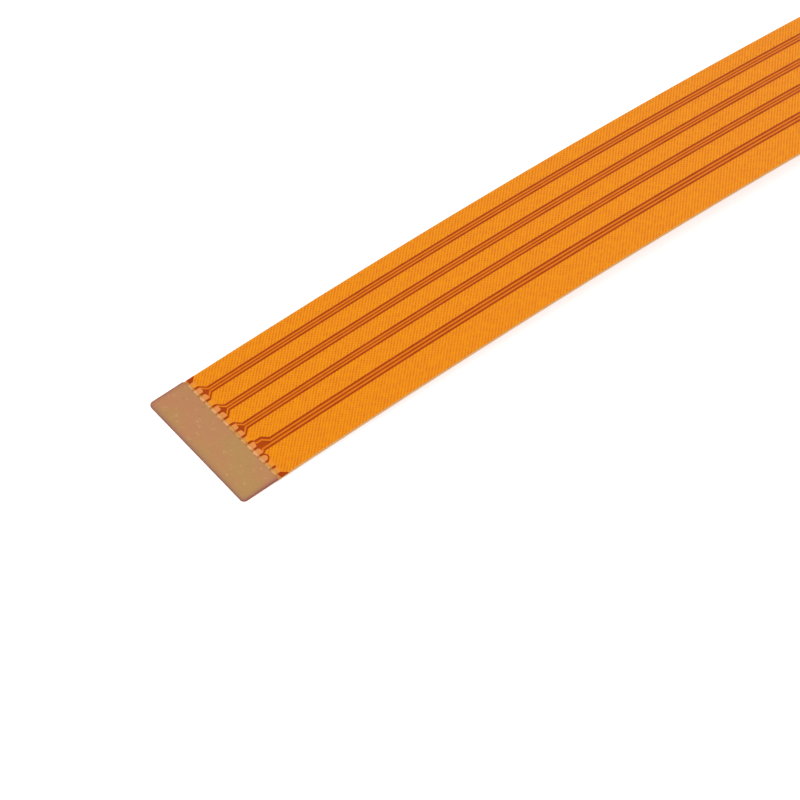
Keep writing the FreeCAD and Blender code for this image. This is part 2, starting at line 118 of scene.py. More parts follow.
class CableSizes(bpy.types.PropertyGroup):
    """Sizes of the laminate, its copper and its ends."""

    cable_length: length("Length", "Along the film, from cut end to cut end", 150)
    cable_width: length("Width", "Across the film", FILM_WIDTH)
    tip_rounding: length("Tip rounding", "Corner radius of the cut ends", 0.5)
    base_thickness: length("Base film", "Thickness of the base film", 0.05)
    copper_thickness: length("Copper", "Thickness of the copper foil", 0.035)
    cover_thickness: length("Coverlay", "Coverlay above the copper", 0.03)
    cover_dip: length("Coverlay dip", "Lower where it has no copper under it", 0.015)
    bond_thickness: length("Bonding film", "Thickness of the bonding film", 0.025)
    stiffener_thickness: length("Stiffener", "Thickness of a stiffener", 0.19)
    stiffener_length: length("Stiffener length", "Along the film", 4.25)
    edge_softness: length("Stiffener edge", "Rounding of a stiffener's upper edge", 0.07)
    top_cover_setback: length("Top coverlay setback", "Start of the top coverlay", 4.63)
    bottom_cover_setback: length("Bottom coverlay setback", "Bare contact length", 4)
    copper_margin: length("Copper margin", "Bare film beside the outer bands", 0.1)
    contact_pitch: length("Contact pitch", "From contact to contact", 1)
    contact_width: length("Contact width", "A contact finger, and its pad", 0.7)
    contact_setback: length("Contact setback", "Start of a contact finger", 0.45)
    contact_chamfer: length("Contact chamfer", "Corners of a finger's tip", 0.1)
    contact_end: length("Contact end", "Inner end of a contact finger", 5.17)
    pad_start: length("Pad start", "Outer end of a top pad", 4.3)
    pad_end: length("Pad end", "Inner end of a top pad", 5.12)
    pad_chamfer: length("Pad chamfer", "Cut off a pad's inner corner", 0.15)
    fork: length("Fork", "Where a ground band's pad widens", 5.05)
    side_fork: length("Side fork", "Where it widens along the cable's sides", 4.97)
    channel_width: length("Channel width", "Round a pair of tracks", 0.98)
    track_width: length("Track width", "A signal track", 0.18)
    track_space: length("Track space", "Between the tracks of a pair", 0.15)
    wide_channel_width: length("Wide channel width", "Round the last pair", 1.11)
    wide_track_width: length("Wide track width", "A track of the last pair", 0.2)
    wide_track_space: length("Wide track space", "Between the last pair", 0.21)
    wide_channel_shift: length("Wide channel shift", "Towards the wide band", 0.28)
    detour_drop: length("Detour drop", "Sideways step of track 11", 0.25)
    detour_end: length("Detour end", "Where track 11 turns into its channel", 5.94)
    round_pad_centre: length("Round pad", "Setback of pad 13's round end", 4.78)
    round_pad_gap: length("Round pad gap", "Ring of bare film round pad 13", 0.16)
    nose_angle: angle("Nose angle", "Where the wide band's nose meets the ring", 52)
    tail_angle: angle("Tail angle", "Where the ring ends beside pad 14", 55)
    link_width: length("Link width", "Link track of contact 13", 0.25)
    hatch_pitch: length("Hatch pitch", "From line to line of the copper hatch", 0.3)


class CableColours(bpy.types.PropertyGroup):
    """Colours of the cable's finishes."""

    band: colour("Band", "Lines of the copper hatch under amber film", "F49404")
    band_cloud: colour("Band clouds", "Redder clouds in a band's film", "F28C14")
    band_hole: colour("Band holes", "Film in the holes of the hatch", "CC6408")
    covered_pad: colour("Covered pad", "Plain copper under amber film", "E28C40")
    signal_pad: colour("Signal pad", "Tinned copper under amber film", "E69050")
    track: colour("Track", "A signal track under amber film", "DE700A")
    track_cloud: colour("Track clouds", "Paler clouds in a track's film", "E4780E")
    # partly painted shade: the shadowed floor and copper seen through the films
    bare_film: colour("Bare coverlay", "Two films with no copper between them", "AA3A00")
    bare_film_cloud: colour("Bare coverlay clouds", "Darker clouds in it", "9C3000")
    margin: colour("Margin", "Clear film along the long edges", "E0B070")
    base: colour("Base film", "One film, over a board or a contact", "C68448")
    base_cloud: colour("Base film clouds", "Darker clouds in it", "BC7C44")
    film_edge: colour("Film edge", "A film's cut edge", "D8A468")
    film_edge_cloud: colour("Film edge clouds", "Darker clouds in it", "C89458")
    stiffener: colour("Stiffener", "Tan stiffener board", "B48850")
    stiffener_blush: colour("Stiffener blush", "Pinkish patches in the board", "BC8258")
    stiffener_fleck: colour("Stiffener flecks", "Pale specks in the board", "D0AE78")
    # the board's cut edge, darkened as painted shade
    stiffener_edge: colour("Stiffener edge", "The board's cut edge", "8E645C")
    # painted shade along the board's sides
    stiffener_rim: colour("Stiffener rim", "Pinker rim along the board's sides", "904A58")
    bond: colour("Bonding film", "Adhesive film at the board's foot", "843C34")
    pad: colour("Pad", "Plated copper beside the stiffener", "DCA270")
    pad_cloud: colour("Pad clouds", "Yellower patches of the plating", "B4843A")
    contact: colour("Contact", "Gold plating on a contact finger", "D8AC5C")
    contact_cloud: colour("Contact clouds", "Deeper patches of the plating", "CE9E50")
    via: colour("Via", "Copper of a via", "C07A4A")
    underside: colour("Underside band", "Copper seen through the base film", "CE6C12")
    underside_cloud: colour("Underside clouds", "Paler clouds in it", "D67216")
    floor: colour("Floor", "Pale floor", "F4F4F4")
    floor_cloud: colour("Floor clouds", "Faint grey clouds in the floor", "E8E8E8")


# Flat outlines


def sizes():
    """The sizes in millimetres, by name."""
    group = bpy.context.scene.flex_sizes
    values = {name: getattr(group, name) for name in CableSizes.__annotations__}
    for name in values:
        if not name.endswith("angle"):
            values[name] /= MM
    return collections.namedtuple("Sizes", values)(**values)


Channel = collections.namedtuple("Channel", "contact centre width track space")
Strip = collections.namedtuple("Strip", "name upper lower")

# How far the corners of a 45 degree bend shift along, for each millimetre across
BEND_SHIFT = math.tan(math.pi / 8)


def contact_y(number, size):
    """The middle of a contact; contact 1 is the uppermost."""
    return ((len(PINOUT) + 1) / 2 - number) * size.contact_pitch


def pad_edge(number, side, size):
    """The upper or the lower edge of a contact and of its pad."""
    return contact_y(number, size) + side * size.contact_width / 2


def channels(size):
    """The clear channels, each round a pair of signal tracks; the last one is wider."""
    usual = (size.channel_width, size.track_width, size.track_space)
    wide = (size.wide_channel_width, size.wide_track_width, size.wide_track_space)
    found = []
    for pair in re.finditer("SS", PINOUT):
        contact = pair.start() + 1
        middle = contact_y(contact, size) - size.contact_pitch / 2
        found.append(Channel(contact, middle, *usual))
    last = found.pop()
    found.append(Channel(last.contact, last.centre - size.wide_channel_shift, *wide))
    return found


def arc(centre, radius, start, stop, steps=16):
    """Points along an arc, from the angle start to the angle stop."""
    turns = [start + (stop - start) * i / steps for i in range(steps + 1)]
    return [(centre[0] + radius * math.cos(t), centre[1] + radius * math.sin(t)) for t in turns]


def band_side(contact, side, edge, size):
    """A ground band's side, from its pad's outer end to its long edge, at 45 degrees."""
    pad = pad_edge(contact, side, size)
    fork = size.fork if 0 < contact - side <= len(PINOUT) else size.side_fork
    return [(size.pad_start, pad), (fork, pad), (fork + side * (edge - pad), edge)]


def detour_side(contact, edge, size):
    """The side of the band that keeps clear of track 11's detour."""
    pad = pad_edge(contact, LOWER, size)
    shelf = pad - size.detour_drop
    turn = size.detour_end + (size.contact_pitch - size.contact_width) * BEND_SHIFT
    return [
        (size.pad_start, pad),
        (size.fork, pad),
        (size.fork + size.detour_drop, shelf),
        (turn, shelf),
        (turn + shelf - edge, edge),
    ]


def ring_side(contact, edge, size):
    """The wide band's upper side, with its nose and the ring round pad 13."""
    centre = (size.round_pad_centre, contact_y(LINKED, size))
    radius = size.contact_width / 2 + size.round_pad_gap
    ring = arc(centre, radius, -size.tail_angle, size.nose_angle)
    pad = pad_edge(contact, UPPER, size)
    tail, nose = ring[0], ring[-1]
    return [
        (size.pad_start, pad),
        (tail[0] - tail[1] + pad, pad),
        *ring,
        (nose[0] + edge - nose[1], edge),
    ]


def notch(contact, size):
    """The pointed bare notch between two pads of one band."""
    half_gap = (size.contact_pitch - size.contact_width) / 2
    upper, lower = pad_edge(contact, LOWER, size), pad_edge(contact + 1, UPPER, size)
    return [
        (size.pad_start, upper),
        (size.pad_end - half_gap, upper),
        (size.pad_end, upper - half_gap),
        (size.pad_end - half_gap, lower),
        (size.pad_start, lower),
    ]


def round_pad(size):
    """Pad 13, from its upper outer corner round its inner end to its lower one."""
    middle = contact_y(LINKED, size)
    radius = size.contact_width / 2
    bow = arc((size.round_pad_centre, middle), radius, math.pi / 2, -math.pi / 2)
    return [(size.pad_start, middle + radius), *bow, (size.pad_start, middle - radius)]


def track_sides(channel, side, detour, size):
    """The outer and the inner side of a signal track, from its pad's outer end."""
    contact = channel.contact if side == UPPER else channel.contact + 1
    outer_pad, inner_pad = pad_edge(contact, side, size), pad_edge(contact, -side, size)
    inner = channel.centre + side * channel.space / 2
    outer = inner + side * channel.track
    leave = outer_pad - side * channel.track * math.sqrt(2)
    end = size.pad_end
    outer_side = [(size.pad_start, outer_pad), (end, outer_pad)]
    inner_side = [
        (size.pad_start, inner_pad),
        (end - size.pad_chamfer, inner_pad),
        (end, inner_pad + side * size.pad_chamfer),
        (end, leave),
    ]
    if detour:
        high = outer_pad - size.detour_drop
        low = high - channel.track
        turn = size.detour_end - channel.track * BEND_SHIFT
        outer_side += [
            (end + size.detour_drop, high),
            (size.detour_end, high),
            (size.detour_end + high - outer, outer),
        ]
        inner_side += [(end + leave - low, low), (turn, low), (turn + low - inner, inner)]
    else:
        outer_side.append((end + side * (outer_pad - outer), outer))
        inner_side.append((end + side * (leave - inner), inner))
    return outer_side, inner_side


def top_strips(size):
    """The copper that runs from end to end, from the first band down to the last."""
    pairs = channels(size)
    margin = size.cable_width / 2 - size.copper_margin
    uppers = [margin] + [c.centre - c.width / 2 for c in pairs]
    lowers = [c.centre + c.width / 2 for c in pairs] + [-margin]
    strips = []
    for number, run in enumerate(re.finditer("G+", PINOUT)):
        first, last = run.start() + 1, run.end()
        if first == LINKED + 1:
            upper = ring_side(first, uppers[number], size)
        else:
            upper = band_side(first, UPPER, uppers[number], size)
        detour = number == len(pairs) - 1
        if detour:
            lower = detour_side(last, lowers[number], size)
        else:
            lower = band_side(last, LOWER, lowers[number], size)
        strips.append(Strip(f"ground_band_{number + 1}", upper, lower))
        if number == len(pairs):
            break
        channel = pairs[number]
        outer, inner = track_sides(channel, UPPER, detour, size)
        strips.append(Strip(f"signal_track_{channel.contact:02d}", outer, inner))
        outer, inner = track_sides(channel, LOWER, False, size)
        strips.append(Strip(f"signal_track_{channel.contact + 1:02d}", inner, outer))
    return strips


def at_end(points, end, size):
    """Points given by their setback, as places along the film at one of its ends."""
    half = size.cable_length / 2
    return [(end * (half - setback), y) for setback, y in points]


def between(upper, lower, size, mouth=()):
    """A closed outline from end to end between two sides, with a bay at each mouth."""
    return (
        at_end(upper, NEAR, size)
        + at_end(upper, FAR, size)[::-1]
        + at_end(mouth, FAR, size)
        + at_end(lower, FAR, size)
        + at_end(lower, NEAR, size)[::-1]
        + at_end(mouth, NEAR, size)[::-1]
    )


# Meshes

TOUCHING = 1e-5  # millimetres; places nearer than this are one
SHARP = math.radians(30)  # edges that turn by more stay sharp


def flat_sheet(outlines):
    """A bmesh with one flat face for each outline."""
    bm = bmesh.new()
    for outline in outlines:
        bm.faces.new([bm.verts.new((x, y, 0)) for x, y in outline])
    bmesh.ops.remove_doubles(bm, verts=bm.verts, dist=TOUCHING)
    return bm


def cut(bm, place, normal, **clear):
    """Cuts a flat sheet along a line, and clears one side of it if that is asked for."""
    bmesh.ops.bisect_plane(
        bm,
        geom=bm.verts[:] + bm.edges[:] + bm.faces[:],
        dist=TOUCHING,
        plane_co=place,
        plane_no=normal,
        **clear,
    )


def keep_within(bm, reach):
    """Keeps what lies within that distance from the middle of the film."""
    cut(bm, (reach, 0, 0), (1, 0, 0), clear_outer=True)
    cut(bm, (-reach, 0, 0), (-1, 0, 0), clear_outer=True)


def cut_at(bm, reach):
    """Cuts a flat sheet across at that distance from the middle, at both ends."""
    for end in (NEAR, FAR):
        cut(bm, (end * reach, 0, 0), (1, 0, 0))


def cut_across(bm, size, step=2.5):
    """Cuts the sheet across at even steps, so that it can follow the route."""
    count = round(size.cable_length / step)
    for number in range(1, count):
        x = size.cable_length * (number / count - 0.5)
        cut(bm, (x, 0, 0), (1, 0, 0))


def thicken(bm, low, high):
    """Gives every flat face of the sheet a thickness, from one level to another."""
    faces = bm.faces[:]
    bmesh.ops.translate(bm, verts=bm.verts, vec=(0, 0, low))
    made = bmesh.ops.extrude_face_region(
        bm, geom=faces + bm.edges[:] + bm.verts[:], use_keep_orig=True
    )
    raised = [item for item in made["geom"] if isinstance(item, bmesh.types.BMVert)]
    bmesh.ops.translate(bm, verts=raised, vec=(0, 0, high - low))
    bmesh.ops.recalc_face_normals(bm, faces=bm.faces)


def soften(bm, items, affect, offset, segments):
    """Rounds corners or edges."""
    bmesh.ops.bevel(
        bm, geom=items, affect=affect, offset=offset, offset_type="OFFSET",
        segments=segments, profile=0.5, material=-1,
    )


# A band is folded into the rows of a square map, each with a lane for its top faces, its
# undersides and its two sides. A lane says along which axis they spread (1 is y, 2 is z),
# where it begins and ends as shares of the row, and how far it slants.
Lane = collections.namedtuple("Lane", "axis low high slant")
TOP, UNDERSIDE = Lane(1, 0.02, 0.8, 0), Lane(1, 0.83, 0.89, 0)
UPPER_SIDE, LOWER_SIDE = Lane(2, 0.91, 0.94, 0.05), Lane(2, 0.96, 0.99, 0.05)
MAP_ROWS = 10
MAP_START, MAP_SPAN = 0.004, 0.992  # along a row


def fold_map(bm, size):
    """Folds a long band into a square map, where its hatch stays sharp."""
    layer = bm.loops.layers.uv.new("OFBake")
    lows = [min(vertex.co[axis] for vertex in bm.verts) for axis in range(3)]
    highs = [max(vertex.co[axis] for vertex in bm.verts) for axis in range(3)]
    for face in bm.faces:
        folds = (face.calc_center_median().x / size.cable_length + 0.5) * MAP_ROWS
        row = min(int(folds), MAP_ROWS - 1)
        if abs(face.normal.z) > 0.5:
            lane = TOP if face.normal.z > 0 else UNDERSIDE
        else:
            lane = UPPER_SIDE if face.normal.y > 0 else LOWER_SIDE
        for loop in face.loops:
            place = [
                (value - least) / (most - least)
                for value, least, most in zip(loop.vert.co, lows, highs)
            ]
            along = (loop.vert.co.x / size.cable_length + 0.5) * MAP_ROWS - row
            u = MAP_START + along * (MAP_SPAN - lane.slant) + place[1] * lane.slant
            v = row + lane.low + place[lane.axis] * (lane.high - lane.low)
            loop[layer].uv = (u, v / MAP_ROWS)


def join(target, other):
    """Adds another bmesh to the first."""
    scratch = bpy.data.meshes.new("scratch")
    other.to_mesh(scratch)
    target.from_mesh(scratch)
    bpy.data.meshes.remove(scratch)
    other.free()


def read_route():
    """The points of the smooth route, how far each is from the middle, and its headings."""
    data = bpy.data.curves.new("route", "CURVE")
    data.dimensions = "3D"
    spline = data.splines.new("NURBS")
    spline.points.add(len(ROUTE) - 1)
    for point, place in zip(spline.points, ROUTE):
        point.co = (*place, 1)
    spline.order_u = 3
    spline.use_endpoint_u = True
    spline.resolution_u = 100
    curve = bpy.data.objects.new("route", data)
    mesh = bpy.data.meshes.new_from_object(curve)
    points = [vertex.co.copy() for vertex in mesh.vertices]
    bpy.data.meshes.remove(mesh)
    bpy.data.objects.remove(curve)
    bpy.data.curves.remove(data)
    runs = [0.0]
    for before, after in zip(points, points[1:]):
        runs.append(runs[-1] + (after - before).length)
    middle = runs[-1] / 2
    spans = zip([points[0], *points], [*points[1:], points[-1]])
    headings = [(after - before).normalized() for before, after in spans]
    return points, [run - middle for run in runs], headings


ROUTE_POINTS, ROUTE_RUNS, ROUTE_HEADINGS = read_route()


def on_route(place):
    """A flat place, in millimetres, as a point of the frame in metres."""
    run = place.x * MM
    index = min(max(bisect.bisect_right(ROUTE_RUNS, run) - 1, 0), len(ROUTE_RUNS) - 2)
    share = (run - ROUTE_RUNS[index]) / (ROUTE_RUNS[index + 1] - ROUTE_RUNS[index])
    point = ROUTE_POINTS[index].lerp(ROUTE_POINTS[index + 1], share)
    held = min(max(share, 0), 1)
    heading = ROUTE_HEADINGS[index].lerp(ROUTE_HEADINGS[index + 1], held)
    up = Vector((-heading.z, 0, heading.x)).normalized()
    return point + up * (place.z * MM) + Vector((0, place.y * MM, 0))


def finish_piece(bm, name, materials, nodes, pick=None):
    """Lays a flat piece along the route and hands it to the frame in place of its nodes."""
    for face in bm.faces:
        if pick is not None:
            face.material_index = pick(face)
        face.smooth = True
    for edge in bm.edges:
        edge.smooth = len(edge.link_faces) == 2 and edge.calc_face_angle(0) < SHARP
    for vertex in bm.verts:
        vertex.co = on_route(vertex.co)
    mesh = bpy.data.meshes.new(name)
    bm.to_mesh(mesh)
    bm.free()
    for material in materials:
        mesh.materials.append(material)
    piece = bpy.data.objects.new(name, mesh)
    bpy.context.scene.collection.objects.link(piece)
    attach(piece, "root")
    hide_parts(*nodes)
    return piece


def side_or(face, flat=0, side=1):
    """The material of a flat face or of a cut edge."""
    return flat if abs(face.normal.z) > 0.5 else side


# Materials

# A mix node has its own sockets for two numbers and for two colours
NUMBER_A, NUMBER_B, COLOUR_A, COLOUR_B = 2, 3, 6, 7
COLOUR_MIX = {"out": 2, "data_type": "RGBA"}
WAVE_HEIGHT = 1  # a wave node's output for a number
FLOOR_GLOW = 0.6  # makes the floor white to the camera


def add(tree, kind, inputs=None, out=0, **settings):
    """Adds a node with its settings and links, and gives one of its outputs.

    An input is a value, or another node's output to link to it.
    """
    node = tree.nodes.new(kind)
    for name, value in settings.items():
        setattr(node, name, value)
    for name, value in (inputs or {}).items():
        if isinstance(value, bpy.types.NodeSocket):
            tree.links.new(value, node.inputs[name])
        else:
            node.inputs[name].default_value = value
    return node.outputs[out] if node.outputs else None


def new_tree(owner):
    """The owner's node tree, emptied."""
    owner.use_nodes = True
    owner.node_tree.nodes.clear()
    return owner.node_tree


def opaque(value):
    """A colour with full cover."""
    return (*value, 1.0)


def in_millimetres(tree, **mapping):
    """Object coordinates scaled to millimetres."""
    place = add(tree, "ShaderNodeTexCoord", out="Object")
    inputs = {"Vector": place, "Scale": (1 / MM,) * 3, **mapping}
    return add(tree, "ShaderNodeMapping", inputs)


def hatch_lines(tree, size):
    """How far a place lies between the lines of the copper hatch, from 0 to 1.

    A real hatch may be finer, and is drawn as coarse as it needs to show. The lines that
    run one way stand out more: painted light, as a lamp at one side would catch their relief.
    """
    turned = in_millimetres(tree, Rotation=(0, 0, math.radians(45)))
    shares = []
    # the y lines reach only half their depth: painted light from a lamp at one side
    for direction, least in (("X", 0.0), ("Y", 0.5)):
        # a wave of scale 1 repeats every pi / 10 units
        inputs = {"Vector": turned, "Scale": math.pi / 10 / size.hatch_pitch}
        wave = add(tree, "ShaderNodeTexWave", inputs, WAVE_HEIGHT, bands_direction=direction)
        inputs = {"Value": wave, "From Min": 0.15, "From Max": 0.85, "To Min": least}
        shares.append(add(tree, "ShaderNodeMapRange", inputs))
    return add(tree, "ShaderNodeMath", dict(enumerate(shares)), operation="MULTIPLY")


def make_band_material(size, tint):
    """Hatched copper under glossy amber polyimide.

    To the eye a warm gold-orange sheet, woven over with fine crossing lines at 45
    degrees, and with a soft shine of its own colour from the copper below.
    """
    material = bpy.data.materials.new("Amber polyimide over hatched copper")
    tree = new_tree(material)
    holes = hatch_lines(tree, size)
    # clouds half a millimetre wide, where the hatch is etched wider or narrower
    inputs = {"Vector": in_millimetres(tree), "Scale": 1 / 0.5, "Detail": 4.0, "Roughness": 0.7}
    patches = add(tree, "ShaderNodeTexNoise", inputs)
    inputs = {"Value": patches, "From Min": 0.38, "From Max": 0.62}
    cloud = add(tree, "ShaderNodeMapRange", inputs)
    inputs = {"Factor": cloud, COLOUR_A: opaque(tint.band), COLOUR_B: opaque(tint.band_cloud)}
    film = add(tree, "ShaderNodeMix", inputs, **COLOUR_MIX)
    inputs = {"Value": patches, "From Min": 0.35, "From Max": 0.65, "To Min": 0.4}
    depth = add(tree, "ShaderNodeMapRange", inputs)
    share = add(tree, "ShaderNodeMath", {0: holes, 1: depth}, operation="MULTIPLY")
    inputs = {"Factor": share, COLOUR_A: film, COLOUR_B: opaque(tint.band_hole)}
    weave = add(tree, "ShaderNodeMix", inputs, **COLOUR_MIX)
    inputs = {"Value": patches, "To Min": 0.34, "To Max": 0.44}
    inputs = {
        "Base Color": weave,
        "Roughness": add(tree, "ShaderNodeMapRange", inputs),
        "Normal": add(
            tree, "ShaderNodeBump", {"Height": holes, "Distance": -0.004 * MM, "Strength": 1.0}
        ),
        "Specular Tint": (1.0, 0.5, 0.05, 1.0),
    }
    shader = add(tree, "ShaderNodeBsdfPrincipled", inputs)
    add(tree, "ShaderNodeOutputMaterial", {"Surface": shader})
    return material


def make_film_material(name, base, second, grain, roughness=0.38):
    """Polyimide film: smooth, a little glossy, with faint clouds in its tone.

    Grain is their width in millimetres. The shine is amber, from what lies below the film.
    """
    material = bpy.data.materials.new(name)
    tree = new_tree(material)
    inputs = {"Vector": in_millimetres(tree), "Scale": 1 / grain, "Detail": 3.0}
    inputs = {"Value": add(tree, "ShaderNodeTexNoise", inputs), "From Min": 0.35, "From Max": 0.7}
    cloud = add(tree, "ShaderNodeMapRange", inputs)
    inputs = {"Factor": cloud, COLOUR_A: opaque(base), COLOUR_B: opaque(second)}
    tone = add(tree, "ShaderNodeMix", inputs, **COLOUR_MIX)
    inputs = {"Value": cloud, "To Min": roughness, "To Max": roughness + 0.1}
    inputs = {
        "Base Color": tone,
        "Roughness": add(tree, "ShaderNodeMapRange", inputs),
        "Specular Tint": (1.0, 0.4, 0.02, 1.0),
    }
    shader = add(tree, "ShaderNodeBsdfPrincipled", inputs)
    add(tree, "ShaderNodeOutputMaterial", {"Surface": shader})
    return material


def make_stiffener_material(size, tint):
    """Pressed polyimide board.

    To the eye matt tan, with pinkish clouds a few millimetres wide, sparse pale and
    dark specks, and a darker, redder rim of painted shade along its punched edges.
    """
    material = bpy.data.materials.new("Pressed polyimide board")
    tree = new_tree(material)
    place = in_millimetres(tree)
    inputs = {"Vector": place, "Scale": 1 / 5, "Detail": 5.0, "Roughness": 0.6}
    inputs = {"Value": add(tree, "ShaderNodeTexNoise", inputs), "From Min": 0.42, "From Max": 0.6}
    cloud = add(tree, "ShaderNodeMapRange", inputs)
    inputs = {
        "Factor": cloud,
        COLOUR_A: opaque(tint.stiffener),
        COLOUR_B: opaque(tint.stiffener_blush),
    }
    tone = add(tree, "ShaderNodeMix", inputs, **COLOUR_MIX)

    # specks half a millimetre wide: past a level of the noise, up to a share of their tone
    inputs = {
        "Vector": place, "Scale": 1 / 0.45, "Detail": 3.0, "Roughness": 0.6, "Distortion": 1.2,
    }
    fleck = add(tree, "ShaderNodeTexNoise", inputs)
    for low, high, share, speck in (
        (0.62, 0.78, 0.35, tint.stiffener_edge),
        (0.41, 0.27, 0.6, tint.stiffener_fleck),
    ):
        inputs = {"Value": fleck, "From Min": low, "From Max": high, "To Max": share}
        inputs = {"Factor": add(tree, "ShaderNodeMapRange", inputs), COLOUR_A: tone}
        inputs[COLOUR_B] = opaque(speck)
        tone = add(tree, "ShaderNodeMix", inputs, **COLOUR_MIX)

    # a rim of painted shade, darker and redder, that begins so many millimetres from the edge and
    # grows to a share of its tone
    for axis, half, rim in (
        ("X", END_X / MM, tint.stiffener_edge),
        ("Y", size.cable_width / 2, tint.stiffener_rim),
    ):
        side = add(tree, "ShaderNodeSeparateXYZ", {"Vector": place}, axis)
        away = add(tree, "ShaderNodeMath", {0: side}, operation="ABSOLUTE")
        for reach, share in ((0.28, 0.65), (0.7, 0.3)):
            inputs = {"Value": away, "From Min": half - reach, "From Max": half}
            inputs["To Max"] = share
            inputs = {"Factor": add(tree, "ShaderNodeMapRange", inputs), COLOUR_A: tone}
            inputs[COLOUR_B] = opaque(rim)
            tone = add(tree, "ShaderNodeMix", inputs, **COLOUR_MIX)
    inputs = {"Value": cloud, "To Min": 0.55, "To Max": 0.65}
    inputs = {
        "Base Color": tone,
        "Roughness": add(tree, "ShaderNodeMapRange", inputs),
        "Normal": add(
            tree, "ShaderNodeBump", {"Height": fleck, "Distance": 0.004 * MM, "Strength": 1.0}
        ),
        "Specular IOR Level": 0.25,
    }
    shader = add(tree, "ShaderNodeBsdfPrincipled", inputs)
    add(tree, "ShaderNodeOutputMaterial", {"Surface": shader})
    return material


def make_metal_material(name, base, second, roughness):
    """Plated copper: soft metal with a fine grain along the film, and faint patches."""
    material = bpy.data.materials.new(name)
    tree = new_tree(material)
    place = in_millimetres(tree, Scale=(0.15 / MM, 1 / MM, 1 / MM))
    grains = []
    for grain in (0.06, 0.9):
        inputs = {"Vector": place, "Scale": 1 / grain, "Detail": 2.0}
        inputs = {
            "Value": add(tree, "ShaderNodeTexNoise", inputs), "From Min": 0.35, "From Max": 0.65,
        }
        grains.append(add(tree, "ShaderNodeMapRange", inputs))
    inputs = {"Factor": 0.6, NUMBER_A: grains[0], NUMBER_B: grains[1]}
    share = add(tree, "ShaderNodeMix", inputs)
    inputs = {"Factor": share, COLOUR_A: opaque(base), COLOUR_B: opaque(second)}
    tone = add(tree, "ShaderNodeMix", inputs, **COLOUR_MIX)
    inputs = {"Value": grains[0], "To Min": roughness, "To Max": roughness + 0.12}
    inputs = {
        "Base Color": tone,
        "Metallic": 1.0,
        "Roughness": add(tree, "ShaderNodeMapRange", inputs),
    }
    shader = add(tree, "ShaderNodeBsdfPrincipled", inputs)
    add(tree, "ShaderNodeOutputMaterial", {"Surface": shader})
    return material


def seen_directly(tree, low, high):
    """High for what the camera sees, straight on or in metal or glass, and otherwise low."""
    seen = 0.0
    for ray in ("Is Camera Ray", "Is Glossy Ray", "Is Transmission Ray"):
        inputs = {0: add(tree, "ShaderNodeLightPath", out=ray), 1: seen}
        seen = add(tree, "ShaderNodeMath", inputs, operation="ADD", use_clamp=True)
    inputs = {"Value": seen, "To Min": low, "To Max": high}
    return add(tree, "ShaderNodeMapRange", inputs)


def make_floor_material(tint):
    """Pale matt floor, which is white to the eye and keeps the cable's shadow."""
    material = bpy.data.materials.new("Pale matt floor")
    tree = new_tree(material)
    # faint clouds 0.4 m wide
    place = add(tree, "ShaderNodeTexCoord", out="Object")
    clouds = add(tree, "ShaderNodeTexNoise", {"Vector": place, "Scale": 1 / 0.4})
    inputs = {"Value": clouds, "To Max": 0.04}
    inputs = {
        "Factor": add(tree, "ShaderNodeMapRange", inputs),
        COLOUR_A: opaque(tint.floor),
        COLOUR_B: opaque(tint.floor_cloud),
    }
    tone = add(tree, "ShaderNodeMix", inputs, **COLOUR_MIX)
    matt = add(tree, "ShaderNodeBsdfDiffuse", {"Color": tone})
    inputs = {"Color": (1, 1, 1, 1), "Strength": seen_directly(tree, 0.0, FLOOR_GLOW)}
    glow = add(tree, "ShaderNodeEmission", inputs)
    both = add(tree, "ShaderNodeAddShader", {0: matt, 1: glow})
    add(tree, "ShaderNodeOutputMaterial", {"Surface": both})
    return material


# Films: the real one's name, the second tone, the width of its clouds in millimetres, and
# the roughness of those that aren't smooth
FILMS = {
    # plain bright orange, without the weave of the bands
    "covered_pad": ("Amber polyimide over a copper pad", "band", 0.4),
    # a paler, peach-coloured bead in front of each track
    "signal_pad": ("Amber polyimide over a tinned pad", "covered_pad", 0.4),
    # a thin deep-orange line between two dark ones
    "track": ("Amber polyimide over a copper track", "track_cloud", 0.6),
    # dark rust brown, where light is lost in both films; partly painted shade, for the shadow
    # that the copper beside it and the floor below cast there
    "bare_film": ("Amber coverlay on base film", "bare_film_cloud", 1.4),
    # a narrow straw-coloured line along the cable's long sides
    "margin": ("Clear margin of amber film", "film_edge", 0.8),
    # tan, close to the board's own tone
    "base": ("Polyimide base film", "base_cloud", 0.8),
    # a fine pale line, matt from the cut
    "film_edge": ("Cut polyimide edge", "film_edge_cloud", 0.3, 0.5),
    # even deep orange, duller than the upper side
    "underside": ("Copper seen through the base film", "underside_cloud", 1.2),
    # a thin red-brown line round the board, darkened as painted shade of its cut edge
    "stiffener_edge": ("Cut board edge", "bond", 0.5, 0.6),
    # a dark wine-red line at the board's foot
    "bond": ("Pressed adhesive film", "stiffener_edge", 0.4, 0.5),
}

# Metals: the real one's name, the second tone and the roughness
METALS = {
    # soft peach metal that hardly shines
    "pad": ("Tinned copper pad", "pad_cloud", 0.45),
    # warm gold, finely brushed along the film
    "contact": ("Gold-plated contact", "contact_cloud", 0.3),
    # dull copper-coloured plugs
    "via": ("Plated via", "pad", 0.4),
}


@functools.cache
def finish_of(name):
    """One of the cable's materials, made when it is first asked for."""
    tint = bpy.context.scene.flex_colours
    if name == "band":
        return make_band_material(sizes(), tint)
    if name == "stiffener":
        return make_stiffener_material(sizes(), tint)
    make = make_film_material if name in FILMS else make_metal_material
    title, second, *rest = FILMS.get(name) or METALS[name]
    return make(title, getattr(tint, name), getattr(tint, second), *rest)


def finishes(*names):
    """Several materials, in order."""
    return [finish_of(name) for name in names]


# Operators

